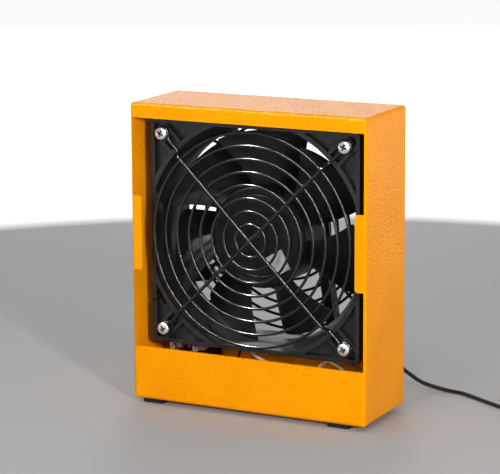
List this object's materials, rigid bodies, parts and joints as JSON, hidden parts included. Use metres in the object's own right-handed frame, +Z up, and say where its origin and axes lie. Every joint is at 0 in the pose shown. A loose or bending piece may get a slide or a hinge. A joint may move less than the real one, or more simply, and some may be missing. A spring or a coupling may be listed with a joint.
{
  "type": "solder fume extractor",
  "caption": "Benchtop solder fume extractor: a folded steel housing round an axial fan with wire guards, a rear rocker switch and a coiled power lead.",
  "frame": {"origin": "on the surface it stands on, under the middle of the housing, with the depth taken from the front face to the tip of the rocker", "axes": "+Z up; air moves along +Y, so the open intake faces -Y and the back panel faces +Y; +X is to the right seen from the intake"},
  "size_m": [0.2323, 0.1057, 0.1621],
  "materials": {
    "powder_coat": "satin powder coat with a fine grain",
    "bright_screw": "bright nickel plate",
    "foot_rubber": "matte",
    "guard_wire": "semi-gloss black coat",
    "fan_plastic": "moulded, satin",
    "core_steel": "stacked laminations",
    "bobbin_plastic": "matte",
    "copper_wire": "enamelled copper",
    "board": "solder mask",
    "black_plastic": "satin",
    "bearing_steel": "ground steel",
    "label_foil": "plain silver label",
    "sticker": "plain silver label",
    "yoke_steel": "drawn steel",
    "magnet": "bonded ferrite",
    "rocker_plastic": "semi-gloss",
    "tinned_brass": "tinned",
    "brass": "bare",
    "white_wire": "vinyl jacket",
    "black_wire": "vinyl jacket",
    "red_wire": "vinyl jacket",
    "nylon": "nylon",
    "lead_jacket": "satin vinyl",
    "tie_plastic": "nylon",
    "plug_plastic": "moulded vinyl",
    "nickel_plate": "nickel plate"
  },
  "bodies": {
    "housing": {"housing_shell": "powder_coat", "back_panel": "powder_coat", "panel_screws": "bright_screw", "rubber_feet": "foot_rubber", "front_guard_rings": "guard_wire", "front_guard_spokes": "guard_wire", "rear_guard_rings": "guard_wire", "rear_guard_spokes": "guard_wire", "front_guard_screws": "bright_screw", "rear_guard_screws": "bright_screw", "fan_frame": "fan_plastic", "stator_core": "core_steel", "stator_bobbin": "bobbin_plastic", "stator_windings": "copper_wire", "driver_board": "board", "board_components": "black_plastic", "motor_cable": "black_wire", "front_bearing": "bearing_steel", "rear_bearing": "bearing_steel", "motor_label": "label_foil", "switch_body": "black_plastic", "switch_terminals": "tinned_brass", "switch_rivets": "brass", "spade_connectors": "tinned_brass", "fan_lead_white": "white_wire", "fan_lead_black": "black_wire", "feed_wire_red": "red_wire", "feed_wire_black": "black_wire", "splice_cap": "nylon", "strain_relief": "lead_jacket", "power_lead": "lead_jacket", "lead_coil": "lead_jacket", "coil_tie": "tie_plastic", "lead_tail": "lead_jacket", "plug_body": "plug_plastic", "plug_barrel": "nickel_plate", "plug_insulator": "black_plastic"},
    "rotor": {"impeller": "fan_plastic", "hub_sticker": "sticker", "rotor_yoke": "yoke_steel", "rotor_magnet": "magnet", "rotor_shaft": "bearing_steel", "shaft_clip": "black_plastic", "preload_spring": "bearing_steel"},
    "rocker": {"switch_rocker": "rocker_plastic"}
  },
  "joints": [
    {"name": "fan_spin", "type": "hinge", "parent": "housing", "child": "rotor", "pos_m": [0, 0.01979, 0.093], "axis": [0, -1, 0], "continuous": true},
    {"name": "rocker_tilt", "type": "hinge", "parent": "housing", "child": "rocker", "pos_m": [-0.05, 0.02179, 0.021], "axis": [0, 0, 1], "range_deg": [-20, 0]}
  ]
}
